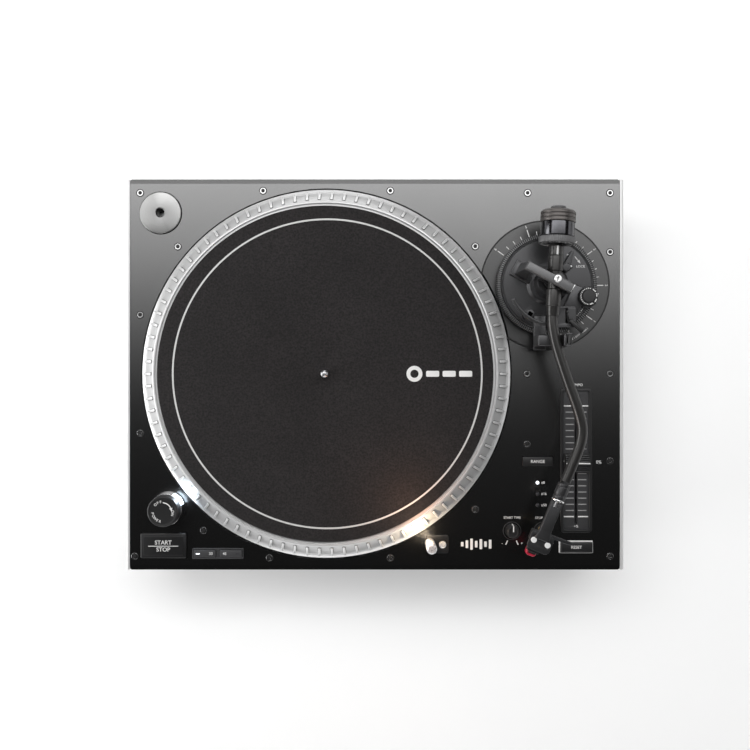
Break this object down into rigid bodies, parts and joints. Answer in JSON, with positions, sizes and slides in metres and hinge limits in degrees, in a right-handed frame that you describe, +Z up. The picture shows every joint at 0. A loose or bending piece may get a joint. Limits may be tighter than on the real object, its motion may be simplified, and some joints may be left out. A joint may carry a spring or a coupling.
{
  "type": "turntable record player",
  "caption": "Direct-drive record player with a turning platter, felt slip mat, S-shaped tonearm, tempo fader, pop-up light and push-button controls.",
  "frame": {"origin": "on the surface that the deck stands on, under the middle of the plinth", "axes": "+X to the right, along the long side; +Y to the rear sockets; +Z up"},
  "size_m": [0.45, 0.353, 0.1566],
  "materials": {
    "deck_black": "satin black paint",
    "moulded_black": "fine moulded texture",
    "rubber": "matte",
    "aluminium": "brushed",
    "platter_aluminium": "turned and polished",
    "chrome": "polished",
    "steel": "satin",
    "grey_plastic": "fine moulded texture",
    "white_plastic": "gloss",
    "red_plastic": "translucent gloss",
    "felt": "pressed felt",
    "copper": "enamelled winding",
    "ferrite": "matte",
    "board": "solder mask",
    "brass": "plated",
    "gloss_black": "gloss black paint"
  },
  "bodies": {
    "plinth": {"base_tub": "rubber", "upper_chassis": "deck_black", "top_plate": "deck_black", "side_trim_left": "aluminium", "side_trim_right": "aluminium", "motor_stator": "copper", "bearing_housing": "steel", "main_board": "board", "power_transformer": "steel", "terminal_panel": "moulded_black", "phono_jack_left": "brass", "phono_jack_right": "brass", "power_inlet": "moulded_black", "speed_key_frame": "grey_plastic", "range_light_guide": "white_plastic", "strobe_tower_base": "chrome", "target_light_plate": "moulded_black", "fader_plate": "grey_plastic", "fader_track": "steel", "tonearm_mount_plate": "deck_black"},
    "turning_platter": {"platter": "platter_aluminium", "slip_mat": "felt", "spindle": "chrome", "rotor_magnet": "ferrite"},
    "single_adapter": {"adapter_45": "aluminium"},
    "ground_screw": {"ground_nut": "brass"},
    "output_switch": {"phono_line_switch": "white_plastic"},
    "start_key": {"start_stop_button": "moulded_black"},
    "range_key": {"range_button": "grey_plastic"},
    "reset_key": {"reset_button": "grey_plastic"},
    "key_33": {"button_33": "grey_plastic"},
    "key_45": {"button_45": "grey_plastic"},
    "power_switch": {"power_knob": "moulded_black"},
    "pop_up_light": {"target_light": "moulded_black"},
    "light_key": {"target_light_button": "grey_plastic"},
    "start_knob": {"start_time_knob": "moulded_black"},
    "stop_knob": {"stop_time_knob": "moulded_black"},
    "tempo_fader": {"tempo_fader_cap": "grey_plastic"},
    "height_dial": {"height_ring": "deck_black"},
    "arm_mount": {"arm_base": "deck_black", "arm_bridge": "deck_black"},
    "anti_skate": {"anti_skate_knob": "moulded_black"},
    "height_lock": {"height_lock_lever": "moulded_black"},
    "cue_handle": {"cue_lever": "deck_black"},
    "lift_platform": {"cue_lifter": "deck_black"},
    "rest_clip": {"arm_rest_clip": "moulded_black"},
    "gimbal": {"gimbal_ring": "deck_black"},
    "tonearm": {"arm_tube": "deck_black", "headshell": "deck_black", "cartridge": "moulded_black", "stylus_assembly": "red_plastic"},
    "shell_collar": {"headshell_collar": "deck_black"},
    "weight_bush": {"counterweight_bush": "steel"},
    "balance_weight": {"counterweight": "gloss_black", "counterweight_dial": "moulded_black"},
    "foot_screw_front_left": {"foot_front_left": "rubber"},
    "foot_screw_front_right": {"foot_front_right": "rubber"},
    "foot_screw_rear_left": {"foot_rear_left": "rubber"},
    "foot_screw_rear_right": {"foot_rear_right": "rubber"}
  },
  "joints": [
    {"name": "platter_spin", "type": "hinge", "parent": "plinth", "child": "turning_platter", "pos_m": [-0.0437, 0.0006, 0.1], "axis": [0, 0, -1], "continuous": true},
    {"name": "adapter_lift", "type": "slide", "parent": "plinth", "child": "single_adapter", "axis": [0, 0, 1], "range_m": [0, 0.03]},
    {"name": "foot_height_front_left", "type": "slide", "parent": "plinth", "child": "foot_screw_front_left", "axis": [0, 0, 1], "range_m": [-0.008, 0]},
    {"name": "foot_height_front_right", "type": "slide", "parent": "plinth", "child": "foot_screw_front_right", "axis": [0, 0, 1], "range_m": [-0.008, 0]},
    {"name": "foot_height_rear_left", "type": "slide", "parent": "plinth", "child": "foot_screw_rear_left", "axis": [0, 0, 1], "range_m": [-0.008, 0]},
    {"name": "foot_height_rear_right", "type": "slide", "parent": "plinth", "child": "foot_screw_rear_right", "axis": [0, 0, 1], "range_m": [-0.008, 0]},
    {"name": "ground_nut_turn", "type": "hinge", "parent": "plinth", "child": "ground_screw", "pos_m": [0.104, 0.163, 0.049], "axis": [0, 1, 0], "range_deg": [0, 360]},
    {"name": "output_switch_slide", "type": "slide", "parent": "plinth", "child": "output_switch", "axis": [1, 0, 0], "range_m": [0, 0.0055]},
    {"name": "start_stop_press", "type": "slide", "parent": "plinth", "child": "start_key", "axis": [0, 0, -1], "range_m": [0, 0.0015], "stiffness_N_per_m": 300, "springref_m": -0.002},
    {"name": "range_press", "type": "slide", "parent": "plinth", "child": "range_key", "axis": [0, 0, -1], "range_m": [0, 0.001], "stiffness_N_per_m": 300, "springref_m": -0.002},
    {"name": "reset_press", "type": "slide", "parent": "plinth", "child": "reset_key", "axis": [0, 0, -1], "range_m": [0, 0.001], "stiffness_N_per_m": 300, "springref_m": -0.002},
    {"name": "speed_33_press", "type": "slide", "parent": "plinth", "child": "key_33", "axis": [0, 0, -1], "range_m": [0, 0.001], "stiffness_N_per_m": 300, "springref_m": -0.002},
    {"name": "speed_45_press", "type": "slide", "parent": "plinth", "child": "key_45", "axis": [0, 0, -1], "range_m": [0, 0.001], "stiffness_N_per_m": 300, "springref_m": -0.002},
    {"name": "power_turn", "type": "hinge", "parent": "plinth", "child": "power_switch", "pos_m": [-0.1863, -0.1204, 0.11], "axis": [0, 0, 1], "range_deg": [0, 45]},
    {"name": "light_pop", "type": "slide", "parent": "plinth", "child": "pop_up_light", "axis": [0, 0, 1], "range_m": [-0.028, 0], "stiffness_N_per_m": 60, "springref_m": 0.01},
    {"name": "light_key_press", "type": "slide", "parent": "plinth", "child": "light_key", "axis": [0, 0, -1], "range_m": [0, 0.0015], "stiffness_N_per_m": 300, "springref_m": -0.002},
    {"name": "start_time_turn", "type": "hinge", "parent": "plinth", "child": "start_knob", "pos_m": [0.1239, -0.1412, 0.1], "axis": [0, 0, 1], "range_deg": [-135, 135]},
    {"name": "stop_time_turn", "type": "hinge", "parent": "plinth", "child": "stop_knob", "pos_m": [0.1516, -0.1414, 0.1], "axis": [0, 0, 1], "range_deg": [-135, 135]},
    {"name": "tempo_slide", "type": "slide", "parent": "plinth", "child": "tempo_fader", "axis": [0, -1, 0], "range_m": [-0.05, 0.05]},
    {"name": "height_turn", "type": "hinge", "parent": "plinth", "child": "height_dial", "pos_m": [0.1536, 0.0805, 0.104], "axis": [0, 0, 1], "range_deg": [0, 216]},
    {"name": "arm_height", "type": "slide", "parent": "plinth", "child": "arm_mount", "axis": [0, 0, 1], "range_m": [0, 0.006]},
    {"name": "anti_skate_turn", "type": "hinge", "parent": "arm_mount", "child": "anti_skate", "pos_m": [0.1885, 0.0689, 0.115], "axis": [0, 0, 1], "range_deg": [0, 300]},
    {"name": "height_lock_turn", "type": "hinge", "parent": "arm_mount", "child": "height_lock", "pos_m": [0.1696, 0.095, 0.113], "axis": [0, 0, 1], "range_deg": [-45, 0]},
    {"name": "cue_turn", "type": "hinge", "parent": "arm_mount", "child": "cue_handle", "pos_m": [0.1708, 0.0553, 0.1123], "axis": [-1, 0, 0], "range_deg": [0, 50]},
    {"name": "cue_lift", "type": "slide", "parent": "arm_mount", "child": "lift_platform", "axis": [0, 0, 1], "range_m": [-0.006, 0]},
    {"name": "rest_clip_turn", "type": "hinge", "parent": "arm_mount", "child": "rest_clip", "pos_m": [0.1653, 0.0295, 0.148], "axis": [0, -1, 0], "range_deg": [0, 265]},
    {"name": "arm_swing", "type": "hinge", "parent": "arm_mount", "child": "gimbal", "pos_m": [0.1536, 0.0805, 0.141], "axis": [0, 0, 1], "range_deg": [-49, 0]},
    {"name": "arm_pitch", "type": "hinge", "parent": "gimbal", "child": "tonearm", "pos_m": [0.1536, 0.0805, 0.141], "axis": [0.9245, -0.3811, 0], "range_deg": [-12, 0]},
    {"name": "collar_turn", "type": "hinge", "parent": "tonearm", "child": "shell_collar", "pos_m": [0.1624, -0.093, 0.141], "axis": [0.3811, 0.9245, 0], "range_deg": [0, 60]},
    {"name": "weight_turn", "type": "hinge", "parent": "tonearm", "child": "weight_bush", "pos_m": [0.1536, 0.0805, 0.141], "axis": [0.0558, 0.9984, 0], "range_deg": [-360, 1080]},
    {"name": "weight_travel", "type": "slide", "parent": "weight_bush", "child": "balance_weight", "axis": [0.0558, 0.9984, 0], "range_m": [-0.003, 0.009]}
  ],
  "couplings": [
    {"joint": "arm_height", "follows": "height_turn", "m_per_rad": 0.00159},
    {"joint": "cue_lift", "follows": "cue_turn", "m_per_rad": -0.00687},
    {"joint": "weight_travel", "follows": "weight_turn", "m_per_rad": 0.000477}
  ]
}
